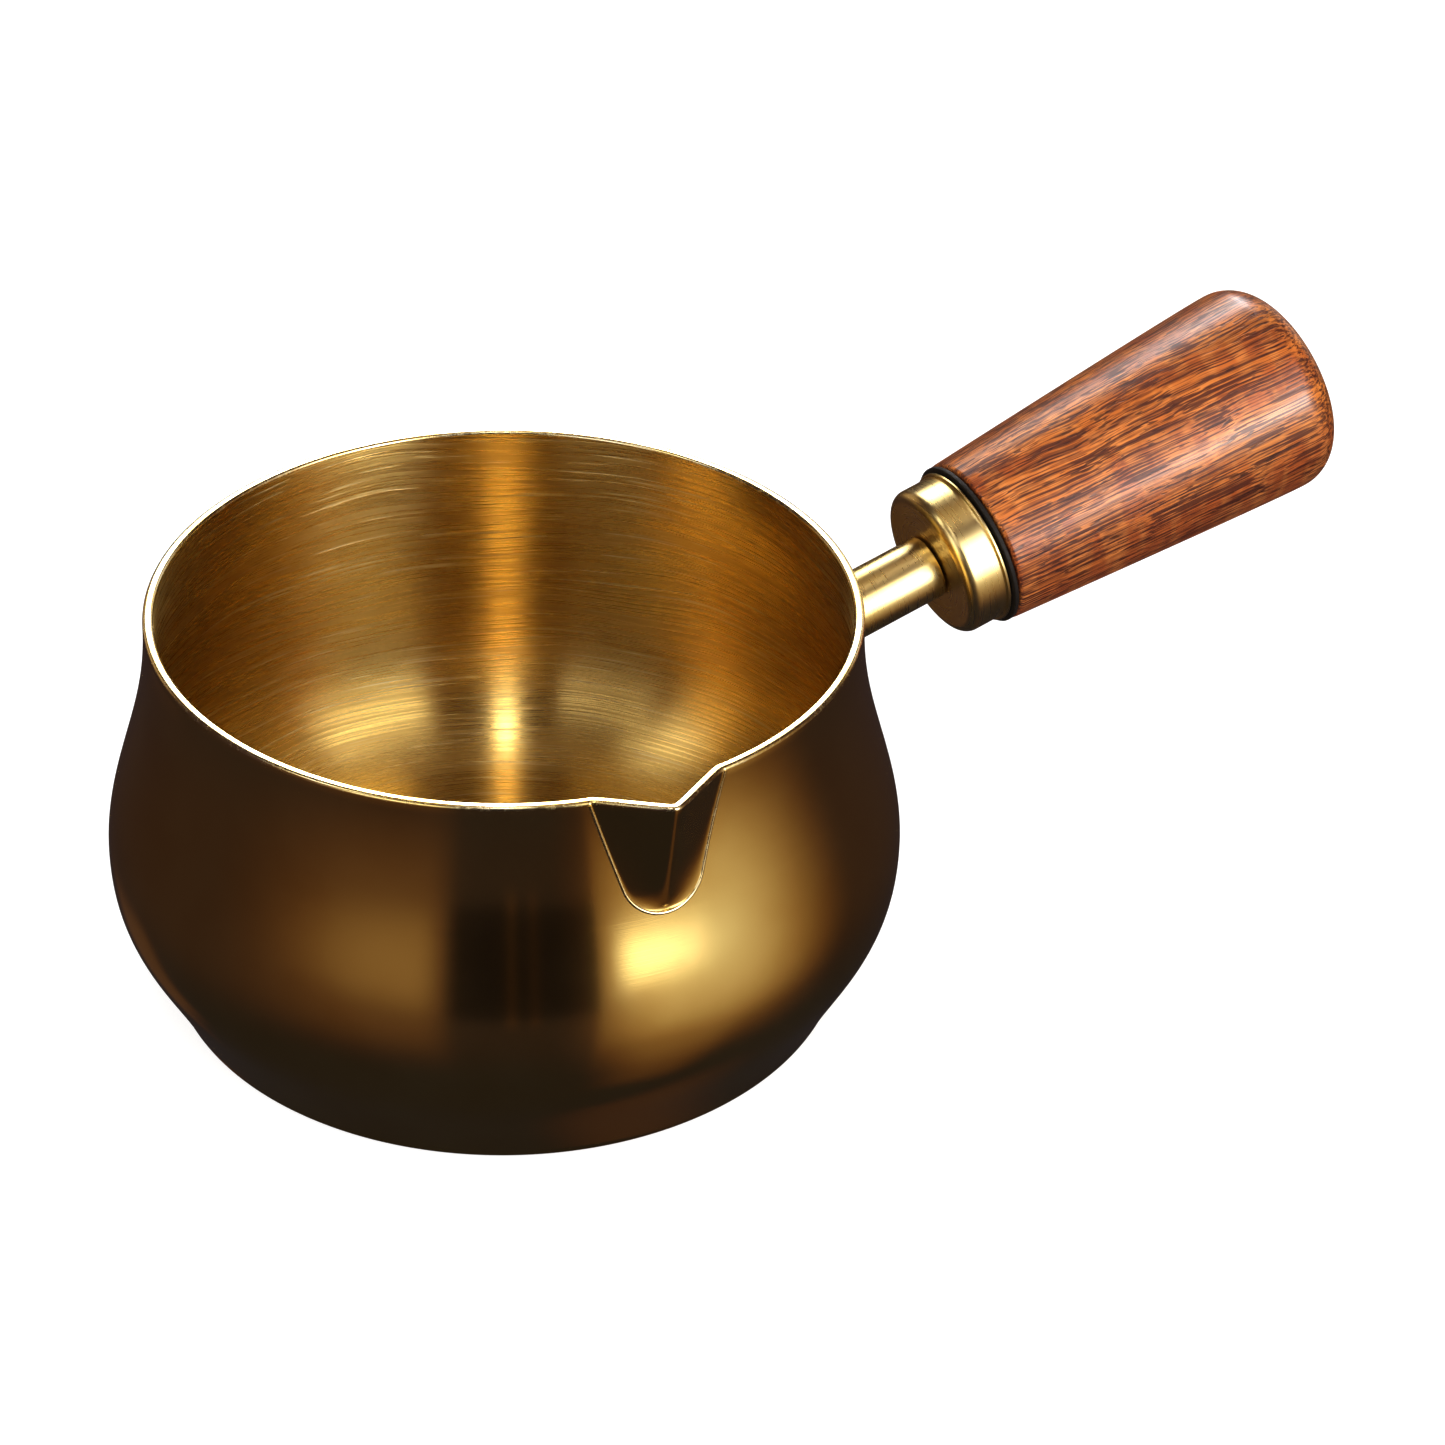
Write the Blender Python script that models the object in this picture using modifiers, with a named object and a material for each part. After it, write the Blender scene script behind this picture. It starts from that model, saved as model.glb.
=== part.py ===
"""A small brass pouring pan: a spun, round-bellied bowl with a folded beak let into its rim, and a
turned wooden grip that a stud clamps, over a black washer and a brass ferrule, onto a brass stem.

The pot's axis is Z and the pan stands on Z = 0. The handle points along +X and climbs away from the
pot; the beak pours towards -Y. All sizes are in metres.
"""

import math

import bmesh
import bpy
from mathutils import Vector
from mathutils.geometry import interpolate_bezier

# Pot: the outer outline is two curves, from the base edge to the belly and from the belly to the rim.
POT_HEIGHT = 0.0590
RIM_RADIUS = 0.0500
BELLY_RADIUS = 0.05665
BELLY_HEIGHT = 0.0220
BASE_RADIUS = 0.0484
BASE_FLARE = math.radians(24.5)  # how far the wall leans out from upright where it leaves the base
BASE_PULL = 0.0130  # the four pulls say how long each curve holds its direction at its two ends
BELLY_PULL_BELOW = 0.0090
BELLY_PULL_ABOVE = 0.0100
RIM_PULL = 0.0176
WALL = 0.0015
FLOOR = 0.0020
FLOOR_RADIUS = 0.0380  # of the flat inside floor
FLOOR_CORNER_HEIGHT = 0.0110  # above the floor, where its rounded corner meets the wall
BASE_EDGE = 0.0008
RIM_EDGE = 0.0005

# Beak: a V-folded sheet in a notch with straight sides and a round bottom.
SPOUT_ANGLE = math.radians(-93.5)
SPOUT_HALF_WIDTH = 0.0099
SPOUT_DEPTH = 0.0182
SPOUT_BOTTOM_RADIUS = 0.0060
SPOUT_REACH = 0.0049  # of the fold, past the rim's outside
SPOUT_LEAN = math.radians(9.4)  # of the fold, inwards as it goes down
SPOUT_FOLD = 0.0008
SPOUT_TUCK = 0.0003  # how far the beak's foot lies inside the wall's outside
SPOUT_WALL = 0.0015

# Handle, along its own axis. Distances are from where that axis crosses the pot's axis.
HANDLE_HEIGHT = 0.0271
HANDLE_CLIMB = math.radians(14.5)
STEM_RADIUS = 0.00485
STEM_PAST_POT = 0.01605  # from the pot's widest radius to the stem's outer end
FERRULE_RADIUS = 0.0116
FERRULE_LENGTH = 0.0064
FERRULE_CORNER = 0.0016
FERRULE_WALL = 0.0012
FERRULE_LIP = 0.0005  # how far the lip stands out, and how thick it is
WASHER_RADIUS = 0.0127
WASHER_LENGTH = 0.0007
GRIP_NECK_RADIUS = 0.0128
GRIP_BUTT_RADIUS = 0.0163
GRIP_LENGTH = 0.0588
GRIP_BUTT_EDGE = 0.0056
GRIP_SWELL = 0.0050  # how far the butt holds its full width before it tapers
GRIP_DOME = 0.0014
GRIP_NECK_EDGE = 0.0006
STUD_RADIUS = 0.0025
STUD_IN_STEM = 0.0100
INSERT_RADIUS = 0.0042
INSERT_LENGTH = 0.0140
STUD_PAST_INSERT = 0.0010

GAP = 0.0003  # between pieces that touch

POT_STEPS = 80
HANDLE_STEPS = 48
CURVE_POINTS = 9


def clear_scene():
    """Remove every object that the scene starts with."""
    for obj in list(bpy.data.objects):
        bpy.data.objects.remove(obj, do_unlink=True)


def new_collection(name):
    """A collection linked to the scene."""
    collection = bpy.data.collections.new(name)
    bpy.context.scene.collection.children.link(collection)
    return collection


def new_material(name, colour, metallic, roughness):
    """A plain Principled BSDF material."""
    material = bpy.data.materials.new(name)
    material.use_nodes = True
    shader = material.node_tree.nodes["Principled BSDF"]
    shader.inputs["Base Color"].default_value = (*colour, 1.0)
    shader.inputs["Metallic"].default_value = metallic
    shader.inputs["Roughness"].default_value = roughness
    return material


def mesh_object(name, mesh, collection, material=None, parent=None):
    """An object for a mesh, in its collection, with its material and parent."""
    obj = bpy.data.objects.new(name, mesh)
    collection.objects.link(obj)
    obj.parent = parent
    if material:
        mesh.materials.append(material)
    return obj


def turned(name, outline, steps, collection, material=None, parent=None, closed=False):
    """A solid of revolution about its own Z from (radius, height) points, run with the solid on the right.

    An open outline starts and ends on the axis. A closed one makes a ring.
    """
    mesh = bpy.data.meshes.new(name)
    count = len(outline)
    edges = [(i, i + 1) for i in range(count - 1)]
    if closed:
        edges.append((count - 1, 0))
    mesh.from_pydata([(radius, 0.0, height) for radius, height in outline], edges, [])
    obj = mesh_object(name, mesh, collection, material, parent)
    screw = obj.modifiers.new("turn", "SCREW")
    screw.axis = "Z"
    screw.angle = math.tau
    screw.steps = steps
    screw.render_steps = steps
    screw.use_merge_vertices = True
    screw.merge_threshold = 0.00001
    screw.use_smooth_shade = True
    return obj


def arc(centre, radius, start, end, points):
    """(radius, height) points on an arc, with its angles in degrees from outwards, turning upwards."""
    found = []
    for i in range(points):
        angle = math.radians(start + (end - start) * i / (points - 1))
        found.append((centre[0] + radius * math.cos(angle), centre[1] + radius * math.sin(angle)))
    return found


def bezier(start, start_pull, end_pull, end, points):
    """(radius, height) points on a cubic curve."""
    knots = [Vector((*point, 0.0)) for point in (start, start_pull, end_pull, end)]
    return [(point.x, point.y) for point in interpolate_bezier(*knots, points)]


def shifted(outline, distance):
    """An outline moved to its right by a distance, square to itself."""
    moved = []
    for i, (radius, height) in enumerate(outline):
        before = outline[max(i - 1, 0)]
        after = outline[min(i + 1, len(outline) - 1)]
        along = Vector((after[0] - before[0], after[1] - before[1])).normalized()
        moved.append((radius + along.y * distance, height - along.x * distance))
    return moved


def radius_at(outline, height):
    """The radius of an outline that runs upwards, at a height."""
    for low, high in zip(outline, outline[1:]):
        if low[1] <= height <= high[1]:
            share = (height - low[1]) / (high[1] - low[1])
            return low[0] + (high[0] - low[0]) * share
    return outline[-1][0]


def pot_outside(points=CURVE_POINTS):
    """The outside of the wall, from the base up to the rim."""
    lower = bezier(
        (BASE_RADIUS, 0.0),
        (BASE_RADIUS + BASE_PULL * math.sin(BASE_FLARE), BASE_PULL * math.cos(BASE_FLARE)),
        (BELLY_RADIUS, BELLY_HEIGHT - BELLY_PULL_BELOW),
        (BELLY_RADIUS, BELLY_HEIGHT),
        points,
    )
    upper = bezier(
        (BELLY_RADIUS, BELLY_HEIGHT),
        (BELLY_RADIUS, BELLY_HEIGHT + BELLY_PULL_ABOVE),
        (RIM_RADIUS, POT_HEIGHT - RIM_PULL),
        (RIM_RADIUS, POT_HEIGHT),
        points,
    )
    return lower + upper[1:]


def pot_outline():
    """The whole section of the pot: inside floor, inner wall, rim, outer wall and base."""
    outside = pot_outside()
    corner_top = FLOOR + FLOOR_CORNER_HEIGHT
    # The outside runs upwards, so moving it to its left takes it inwards.
    inner_wall = [point for point in shifted(outside, -WALL) if point[1] > corner_top]
    wall_point = inner_wall[0]
    rise = Vector((inner_wall[1][0] - wall_point[0], inner_wall[1][1] - wall_point[1])).normalized()
    pull = FLOOR_CORNER_HEIGHT * 0.6
    corner = bezier(
        (FLOOR_RADIUS, FLOOR),
        (FLOOR_RADIUS + pull, FLOOR),
        (wall_point[0] - rise.x * pull, wall_point[1] - rise.y * pull),
        wall_point,
        6,
    )
    inner_rim = RIM_RADIUS - WALL
    rim = arc((inner_rim + RIM_EDGE, POT_HEIGHT - RIM_EDGE), RIM_EDGE, 180, 90, 3)
    rim += arc((RIM_RADIUS - RIM_EDGE, POT_HEIGHT - RIM_EDGE), RIM_EDGE, 90, 0, 3)
    outer_wall = [point for point in reversed(outside) if BASE_EDGE < point[1] < POT_HEIGHT - RIM_EDGE]
    base_edge = arc((radius_at(outside, BASE_EDGE) - BASE_EDGE, BASE_EDGE), BASE_EDGE, 0, -90, 3)
    outline = [(0.0, FLOOR)] + corner
    outline += [point for point in inner_wall[1:] if point[1] < POT_HEIGHT - RIM_EDGE]
    return outline + rim + outer_wall + base_edge + [(0.0, 0.0)]


def spout_outline(grow, top):
    """The right half of the beak's outline as (half width, height), from a height down to its bottom.

    Its side is a straight line that is tangent to the round bottom.
    """
    centre = Vector((0.0, POT_HEIGHT - SPOUT_DEPTH + SPOUT_BOTTOM_RADIUS))
    corner = Vector((SPOUT_HALF_WIDTH, POT_HEIGHT)) - centre
    tangent_angle = math.atan2(corner.y, corner.x) - math.acos(SPOUT_BOTTOM_RADIUS / corner.length)
    out = Vector((math.cos(tangent_angle), math.sin(tangent_angle)))
    along = Vector((-out.y, out.x))
    tangent = centre + out * (SPOUT_BOTTOM_RADIUS + grow)
    side = []
    for i in range(6):
        height = top + (tangent.y - top) * i / 5
        side.append((tangent + along * ((height - tangent.y) / along.y)).to_tuple())
    bottom = arc(centre, SPOUT_BOTTOM_RADIUS + grow, math.degrees(tangent_angle), -90, 8)
    return side + bottom[1:]


def spout_section(half_width, height, outside):
    """One level section of the beak, as a closed run of points at that height."""
    wall_radius = radius_at(outside, height)
    foot = math.sqrt(wall_radius**2 - half_width**2)
    fold = RIM_RADIUS + SPOUT_REACH - (POT_HEIGHT - height) * math.tan(SPOUT_LEAN)
    fold = max(fold, wall_radius - SPOUT_TUCK)
    rounding = SPOUT_FOLD / half_width
    sheet = []
    for i in range(-6, 7):
        share = i / 6
        ridge = 1 - (math.hypot(share, rounding) - rounding) / (math.hypot(1, rounding) - rounding)
        sheet.append((foot + (fold - foot) * ridge, share * half_width, height))
    slope = math.atan2(fold - foot, half_width)
    thickness = SPOUT_WALL / math.cos(slope)
    inside = [(x - thickness, y, z) for x, y, z in reversed(sheet)]
    return sheet + inside


def loft(name, sections, collection, material, parent):
    """A closed solid through sections that have the same number of points each."""
    bm = bmesh.new()
    rings = [[bm.verts.new(point) for point in section] for section in sections]
    count = len(rings[0])
    for upper, lower in zip(rings, rings[1:]):
        for i in range(count):
            bm.faces.new((upper[i], upper[(i + 1) % count], lower[(i + 1) % count], lower[i]))
    bm.faces.new(rings[0])
    bm.faces.new(list(reversed(rings[-1])))
    bmesh.ops.recalc_face_normals(bm, faces=bm.faces)
    mesh = bpy.data.meshes.new(name)
    bm.to_mesh(mesh)
    bm.free()
    mesh.shade_smooth()
    mesh.set_sharp_from_angle(angle=math.radians(40))
    return mesh_object(name, mesh, collection, material, parent)


def flat_cutter(name, half_outline, near, far, collection, parent):
    """A prism of a mirrored outline, which lies across the parent's X and runs from near to far along it."""
    curve = bpy.data.curves.new(name, "CURVE")
    curve.dimensions = "2D"
    curve.fill_mode = "BOTH"
    curve.extrude = (far - near) / 2
    points = half_outline[:-1] + [(-width, height) for width, height in reversed(half_outline)]
    spline = curve.splines.new("POLY")
    spline.points.add(len(points) - 1)
    for spline_point, (width, height) in zip(spline.points, points):
        spline_point.co = (width, height, 0.0, 1.0)
    spline.use_cyclic_u = True
    guide = bpy.data.objects.new(name + "_outline", curve)
    collection.objects.link(guide)
    graph = bpy.context.evaluated_depsgraph_get()
    mesh = bpy.data.meshes.new_from_object(guide.evaluated_get(graph))
    bpy.data.objects.remove(guide)
    bm = bmesh.new()
    bm.from_mesh(mesh)
    bmesh.ops.remove_doubles(bm, verts=bm.verts, dist=0.000001)
    bmesh.ops.recalc_face_normals(bm, faces=bm.faces)
    bm.to_mesh(mesh)
    bm.free()
    cutter = mesh_object(name, mesh, collection, None, parent)
    # The outline's X lies along the parent's Y, its Y along the parent's Z and its depth along the parent's X.
    cutter.rotation_euler = (math.radians(90), 0.0, math.radians(90))
    cutter.location = ((near + far) / 2, 0.0, 0.0)
    return as_cutter(cutter)


def as_cutter(obj):
    """Keep an object out of renders and draw it as a wire."""
    obj.hide_render = True
    obj.display_type = "WIRE"
    return obj


def cut(obj, cutter):
    """Take a cutter's shape out of an object."""
    boolean = obj.modifiers.new("cut_" + cutter.name, "BOOLEAN")
    boolean.operation = "DIFFERENCE"
    boolean.solver = "EXACT"
    boolean.object = cutter


def make_pot(parts, cutters, brass, spout_frame):
    """The spun bowl, notched for the beak."""
    pot = turned("pot_body", pot_outline(), POT_STEPS, parts, brass)
    notch = spout_outline(GAP, POT_HEIGHT + WALL)
    beyond_wall = max(RIM_RADIUS, BELLY_RADIUS) + WALL
    cut(pot, flat_cutter("spout_notch", notch, RIM_RADIUS / 2, beyond_wall, cutters, spout_frame))


def make_spout(parts, brass, spout_frame):
    """The folded beak, edge to edge with its notch."""
    outside = pot_outside()
    # The last point of the outline has no width, so the beak closes a little above it.
    levels = spout_outline(0.0, POT_HEIGHT)[:-1]
    sections = [spout_section(half_width, height, outside) for half_width, height in levels]
    loft("pouring_spout", sections, parts, brass, spout_frame)


def stem_end():
    """The distance along the handle's axis of the stem's outer end."""
    return max(RIM_RADIUS, BELLY_RADIUS) + STEM_PAST_POT


def make_stem(parts, cutters, brass, handle_axis):
    """The rod from the wall to the ferrule, shaped to the wall and tapped for the stud."""
    bore = STUD_RADIUS + GAP
    end = stem_end()
    bore_bottom = end - STUD_IN_STEM - GAP
    inside_pot = RIM_RADIUS / 2
    outline = [
        (0.0, bore_bottom),
        (bore, bore_bottom),
        (bore, end),
        (STEM_RADIUS, end),
        (STEM_RADIUS, inside_pot),
        (0.0, inside_pot),
    ]
    stem = turned("handle_stem", outline, HANDLE_STEPS, parts, brass, handle_axis)
    outside = shifted(pot_outside(), GAP)
    wall = [(0.0, outside[-1][1])] + list(reversed(outside)) + [(0.0, outside[0][1])]
    cut(stem, as_cutter(turned("wall_clearance", wall, POT_STEPS, cutters)))


def ferrule_start():
    """The distance along the handle's axis of the ferrule's front face."""
    return stem_end() + GAP


def make_ferrule(parts, brass, handle_axis):
    """The round-shouldered cap over the grip's neck, with a thin lip and a hole for the stud."""
    front = ferrule_start()
    back = front + FERRULE_LENGTH
    cup = FERRULE_RADIUS - FERRULE_WALL
    hole = STUD_RADIUS + GAP
    outline = [
        (cup, back),
        (FERRULE_RADIUS + FERRULE_LIP, back),
        (FERRULE_RADIUS + FERRULE_LIP, back - FERRULE_LIP),
        (FERRULE_RADIUS, back - 2 * FERRULE_LIP),
    ]
    shoulder = (FERRULE_RADIUS - FERRULE_CORNER, front + FERRULE_CORNER)
    outline += arc(shoulder, FERRULE_CORNER, 0, -90, 5)
    outline += [(hole, front), (hole, front + FERRULE_WALL), (cup, front + FERRULE_WALL)]
    turned("ferrule", outline, HANDLE_STEPS, parts, brass, handle_axis, closed=True)


def washer_start():
    """The distance along the handle's axis of the washer's front face."""
    return ferrule_start() + FERRULE_LENGTH + GAP


def spigot_radius():
    """The radius of the grip's neck where it enters the ferrule."""
    return FERRULE_RADIUS - FERRULE_WALL - GAP


def make_washer(parts, fibre, handle_axis):
    """The black ring that keeps the wood off the metal."""
    front = washer_start()
    back = front + WASHER_LENGTH
    inner = spigot_radius() + GAP
    outline = [(inner, back), (WASHER_RADIUS, back), (WASHER_RADIUS, front), (inner, front)]
    turned("heat_washer", outline, HANDLE_STEPS, parts, fibre, handle_axis, closed=True)


def spigot_face():
    """The distance along the handle's axis of the face of the grip's neck, inside the ferrule."""
    return ferrule_start() + FERRULE_WALL + GAP


def make_stud(parts, steel, handle_axis):
    """The threaded rod that joins stem and grip, at its outside diameter."""
    start = stem_end() - STUD_IN_STEM
    end = spigot_face() + INSERT_LENGTH + STUD_PAST_INSERT
    outline = [(0.0, end), (STUD_RADIUS, end), (STUD_RADIUS, start), (0.0, start)]
    turned("threaded_stud", outline, HANDLE_STEPS // 2, parts, steel, handle_axis)


def make_insert(parts, brass, handle_axis):
    """The threaded sleeve in the grip's bore."""
    front = spigot_face() + GAP
    back = front + INSERT_LENGTH - GAP
    inner = STUD_RADIUS + GAP
    outline = [(inner, back), (INSERT_RADIUS, back), (INSERT_RADIUS, front), (inner, front)]
    turned("threaded_insert", outline, HANDLE_STEPS // 2, parts, brass, handle_axis, closed=True)


def make_grip(parts, wood, handle_axis):
    """The turned grip: a taper that swells to a round butt, a neck for the ferrule and a blind bore."""
    neck = washer_start() + WASHER_LENGTH + GAP
    butt = neck + GRIP_LENGTH
    dome_radius = GRIP_BUTT_RADIUS - GRIP_BUTT_EDGE
    edge_top = butt - GRIP_DOME
    outline = [(0.0, butt)]
    for i in range(1, 5):
        share = i / 5
        outline.append((dome_radius * share, butt - GRIP_DOME * share**2))
    outline += arc((dome_radius, edge_top - GRIP_BUTT_EDGE), GRIP_BUTT_EDGE, 90, 0, 7)
    outline += bezier(
        (GRIP_BUTT_RADIUS, edge_top - GRIP_BUTT_EDGE),
        (GRIP_BUTT_RADIUS, edge_top - GRIP_BUTT_EDGE - GRIP_SWELL),
        (GRIP_NECK_RADIUS, neck + GRIP_NECK_EDGE),
        (GRIP_NECK_RADIUS, neck + GRIP_NECK_EDGE),
        6,
    )[1:]
    bore = INSERT_RADIUS + GAP
    bore_end = spigot_face() + INSERT_LENGTH + STUD_PAST_INSERT + GAP
    outline += [
        (GRIP_NECK_RADIUS - GRIP_NECK_EDGE, neck),
        (spigot_radius(), neck),
        (spigot_radius(), spigot_face()),
        (bore, spigot_face()),
        (bore, bore_end),
        (0.0, bore_end),
    ]
    turned("wooden_grip", outline, HANDLE_STEPS, parts, wood, handle_axis)


def make_frame(name, collection, height, rotation):
    """An empty on the pot's axis, to place what is parented to it."""
    frame = bpy.data.objects.new(name, None)
    frame.location = (0.0, 0.0, height)
    frame.rotation_euler = rotation
    collection.objects.link(frame)
    return frame


def main():
    clear_scene()
    parts = new_collection("pouring_pan")
    cutters = new_collection("cutters")
    brass = new_material("brass", (0.72, 0.50, 0.20), 1.0, 0.28)
    steel = new_material("steel", (0.60, 0.60, 0.62), 1.0, 0.35)
    fibre = new_material("black_fibre", (0.02, 0.02, 0.02), 0.0, 0.6)
    wood = new_material("wood", (0.42, 0.15, 0.06), 0.0, 0.35)
    spout_frame = make_frame("spout_frame", parts, 0.0, (0.0, 0.0, SPOUT_ANGLE))
    tilt = (0.0, math.radians(90) - HANDLE_CLIMB, 0.0)
    handle_axis = make_frame("handle_axis", parts, HANDLE_HEIGHT, tilt)
    make_pot(parts, cutters, brass, spout_frame)
    make_spout(parts, brass, spout_frame)
    make_stem(parts, cutters, brass, handle_axis)
    make_ferrule(parts, brass, handle_axis)
    make_washer(parts, fibre, handle_axis)
    make_stud(parts, steel, handle_axis)
    make_insert(parts, brass, handle_axis)
    make_grip(parts, wood, handle_axis)


main()
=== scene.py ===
"""The looks of a small brass pouring pan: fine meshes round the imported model, brushed and satin brass,
a turned hardwood grip, a pale floor and soft studio light.

All sizes are in metres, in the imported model's frame: the pot's axis is Z, the pan stands on Z = 0, the
handle points along +X and climbs, and the beak pours towards -Y.
"""

import math

import bmesh
import bpy
from mathutils import Matrix, Vector
from mathutils.geometry import interpolate_bezier


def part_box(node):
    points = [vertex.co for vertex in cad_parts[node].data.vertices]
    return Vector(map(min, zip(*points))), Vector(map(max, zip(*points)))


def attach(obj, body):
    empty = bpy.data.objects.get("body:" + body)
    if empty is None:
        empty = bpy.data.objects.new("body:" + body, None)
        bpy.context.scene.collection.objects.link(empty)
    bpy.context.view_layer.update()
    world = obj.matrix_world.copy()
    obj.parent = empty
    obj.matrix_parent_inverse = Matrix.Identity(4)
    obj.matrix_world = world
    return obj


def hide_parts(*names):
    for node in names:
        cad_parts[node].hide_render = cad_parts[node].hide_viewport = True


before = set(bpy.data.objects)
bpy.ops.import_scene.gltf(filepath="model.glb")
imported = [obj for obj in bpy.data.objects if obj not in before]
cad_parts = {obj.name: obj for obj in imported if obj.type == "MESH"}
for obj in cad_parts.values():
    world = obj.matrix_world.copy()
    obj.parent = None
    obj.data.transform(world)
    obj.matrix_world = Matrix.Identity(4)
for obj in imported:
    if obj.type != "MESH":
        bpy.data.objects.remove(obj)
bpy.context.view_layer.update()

# Pot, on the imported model's outline.
RIM_RADIUS = 0.0500
POT_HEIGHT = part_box("pot_body")[1].z
BELLY_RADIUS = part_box("pot_body")[1].x
BELLY_HEIGHT = 0.0220
BASE_RADIUS = 0.0484
BASE_FLARE = math.radians(24.5)
BASE_PULL = 0.0130
BELLY_PULL_BELOW = 0.0090
BELLY_PULL_ABOVE = 0.0100
RIM_PULL = 0.0176
WALL = 0.0015
FLOOR = 0.0020
FLOOR_RADIUS = 0.0380
FLOOR_CORNER_HEIGHT = 0.0110
BASE_EDGE = 0.0008
RIM_EDGE = 0.0005

# Beak.
SPOUT_ANGLE = math.radians(-93.5)
SPOUT_HALF_WIDTH = 0.0099
SPOUT_DEPTH = 0.0182
SPOUT_BOTTOM_RADIUS = 0.0060
SPOUT_REACH = 0.0049
SPOUT_LEAN = math.radians(9.4)
SPOUT_FOLD = 0.0008
SPOUT_FOOT = 0.0007
SPOUT_TUCK = 0.0003
SEAM = 0.00005  # left between the joined pieces, under the bead of braze
NOTCH_FIRST_TURN = 0.06  # radians round the notch's bottom to its first row of vertices
BEAD_RADIUS = 0.00028
BEAD_SINK = BEAD_RADIUS * 0.45

# Handle, along its own axis from where that axis crosses the pot's axis.
HANDLE_HEIGHT = 0.0271
HANDLE_CLIMB = math.radians(14.5)
STEM_RADIUS = 0.00485
STEM_PAST_POT = 0.01605
STEM_END = BELLY_RADIUS + STEM_PAST_POT
STEM_EDGE = 0.0003
FERRULE_RADIUS = 0.0116
FERRULE_LENGTH = 0.0064
FERRULE_CORNER = 0.0016
FERRULE_WALL = 0.0012
FERRULE_LIP = 0.0005
WASHER_RADIUS = 0.0127
WASHER_LENGTH = 0.0007
WASHER_EDGE = 0.00015
GRIP_NECK_RADIUS = 0.0128
GRIP_BUTT_RADIUS = 0.0163
GRIP_LENGTH = 0.0588
GRIP_BUTT_EDGE = 0.0056
GRIP_SWELL = 0.0050
GRIP_DOME = 0.0014
GRIP_NECK_EDGE = 0.0006
STUD_RADIUS = 0.0025
STUD_IN_STEM = 0.0100
STUD_PITCH = 0.0008
INSERT_RADIUS = 0.0042
INSERT_LENGTH = 0.0140
INSERT_PITCH = 0.0016
STUD_PAST_INSERT = 0.0010
GAP = 0.0003

# Heights nearer than TINY are the same height, and vertices nearer than MERGE_DISTANCE become one.
TINY = 1e-7
MERGE_DISTANCE = 5e-7

# The pot's and the beak's three materials, by their place on the mesh.
OUTSIDE_FACE, INSIDE_FACE, EDGE_FACE = 0, 1, 2

# Points of the meshes: columns go round a piece, and rows follow its outline.
CURVE_POINTS = 160
POT_COLUMNS = 300
BEAK_COLUMNS = 72
HANDLE_COLUMNS = 192
THREAD_COLUMNS = 48
NOTCH_BOTTOM_ROWS = 18
NOTCH_SIDE_ROWS = 14
EDGE_ROWS = 6
WALL_ROWS = 30
CORNER_ROWS = 14
FLOOR_ROWS = 20
LOWER_WALL_ROWS = 20
BASE_ROWS = 8
STEM_ROWS = 12
FERRULE_ROWS = 8
SHOULDER_ROWS = 14
DOME_ROWS = 14
BUTT_EDGE_ROWS = 20
GRIP_ROWS = 48
STUD_ROWS_A_TURN = 6
INSERT_ROWS_A_TURN = 8

FERRULE_START = STEM_END + GAP
WASHER_START = FERRULE_START + FERRULE_LENGTH + GAP
GRIP_START = WASHER_START + WASHER_LENGTH + GAP
SPIGOT_RADIUS = FERRULE_RADIUS - FERRULE_WALL - GAP
SPIGOT_FACE = FERRULE_START + FERRULE_WALL + GAP

HANDLE_FRAME = Matrix.Translation((0.0, 0.0, HANDLE_HEIGHT)) @ Matrix.Rotation(
    math.radians(90) - HANDLE_CLIMB, 4, "Y"
)
SPOUT_FRAME = Matrix.Rotation(SPOUT_ANGLE, 4, "Z")


# ---------------------------------------------------------------- outlines


def bezier(start, start_pull, end_pull, end, points):
    """(radius, height) points on a cubic curve."""
    knots = [Vector((*point, 0.0)) for point in (start, start_pull, end_pull, end)]
    return [(point.x, point.y) for point in interpolate_bezier(*knots, points)]


def arc(centre, radius, start, end, points):
    """(radius, height) points on an arc, with its angles in degrees from outwards, turning upwards."""
    found = []
    for i in range(points):
        angle = math.radians(start + (end - start) * i / (points - 1))
        found.append((centre[0] + radius * math.cos(angle), centre[1] + radius * math.sin(angle)))
    return found


def spread(low, high, count):
    """Evenly spaced values from low to high, both included."""
    return [low + (high - low) * i / (count - 1) for i in range(count)]


def shifted(outline, distance):
    """An outline moved to its right by a distance, square to itself."""
    moved = []
    for i, (radius, height) in enumerate(outline):
        before = outline[max(i - 1, 0)]
        after = outline[min(i + 1, len(outline) - 1)]
        along = Vector((after[0] - before[0], after[1] - before[1])).normalized()
        moved.append((radius + along.y * distance, height - along.x * distance))
    return moved


def radius_at(outline, height):
    """The radius of an outline that runs upwards, at a height."""
    for low, high in zip(outline, outline[1:]):
        if low[1] <= height <= high[1]:
            share = (height - low[1]) / (high[1] - low[1])
            return low[0] + (high[0] - low[0]) * share
    return outline[-1][0] if height > outline[-1][1] else outline[0][0]


def pot_outside(points):
    """The outside of the wall, from the base up to the rim."""
    lower = bezier(
        (BASE_RADIUS, 0.0),
        (BASE_RADIUS + BASE_PULL * math.sin(BASE_FLARE), BASE_PULL * math.cos(BASE_FLARE)),
        (BELLY_RADIUS, BELLY_HEIGHT - BELLY_PULL_BELOW),
        (BELLY_RADIUS, BELLY_HEIGHT),
        points,
    )
    upper = bezier(
        (BELLY_RADIUS, BELLY_HEIGHT),
        (BELLY_RADIUS, BELLY_HEIGHT + BELLY_PULL_ABOVE),
        (RIM_RADIUS, POT_HEIGHT - RIM_PULL),
        (RIM_RADIUS, POT_HEIGHT),
        points,
    )
    return lower + upper[1:]


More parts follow.
